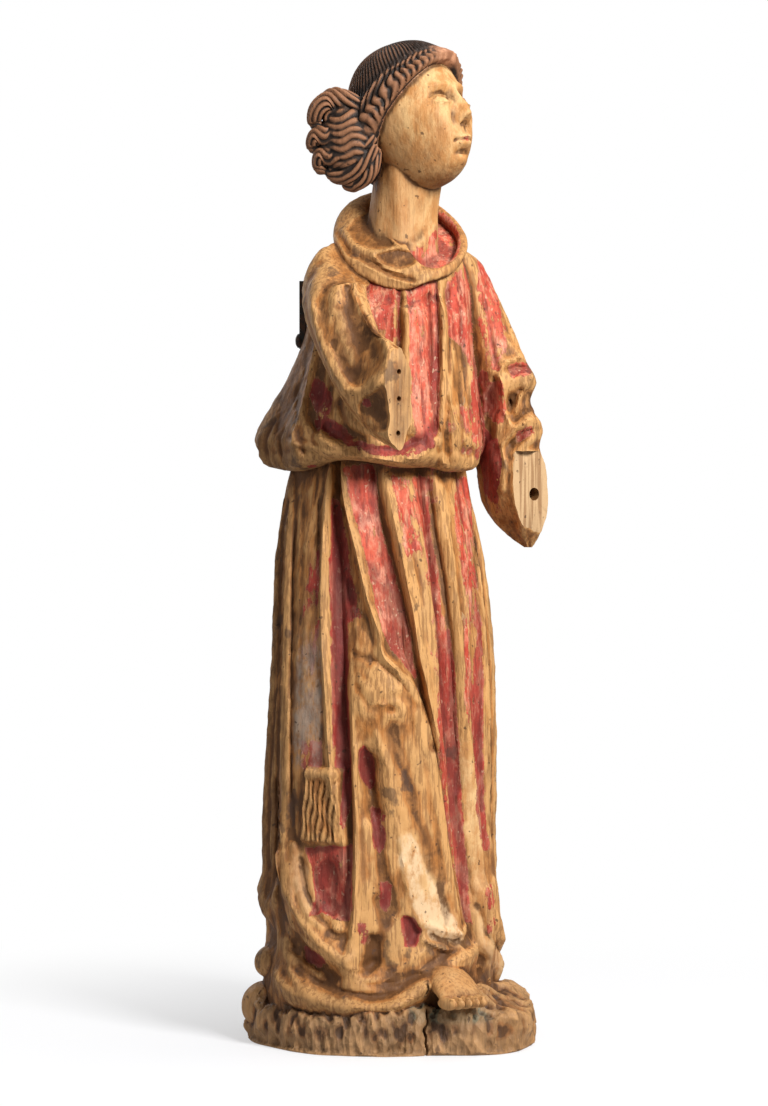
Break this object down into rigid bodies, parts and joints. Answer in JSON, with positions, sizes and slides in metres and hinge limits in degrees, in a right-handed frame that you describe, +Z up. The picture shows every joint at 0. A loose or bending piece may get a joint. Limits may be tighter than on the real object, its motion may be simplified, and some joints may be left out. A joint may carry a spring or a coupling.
{
  "type": "wooden saint statue",
  "caption": "Standing robed saint carved in wood with worn red paint, head lifted, hands lost, on a low carved ground, with an iron strap on its back.",
  "frame": {"origin": "on the floor, under the middle of the whole work's box", "axes": "+Z up; the figure faces -Y, its right hand is at -X and its left hand at +X"},
  "size_m": [0.2932, 0.2935, 1.0001],
  "materials": {
    "polychrome_wood": "old carved wood, honey brown, with remains of vermilion and crimson paint in the folds and dark patina in the hollows",
    "iron": "hand forged, nearly black, dull and slightly rusted"
  },
  "bodies": {
    "root": {"saint_figure": "polychrome_wood", "iron_bracket": "iron"}
  },
  "joints": []
}
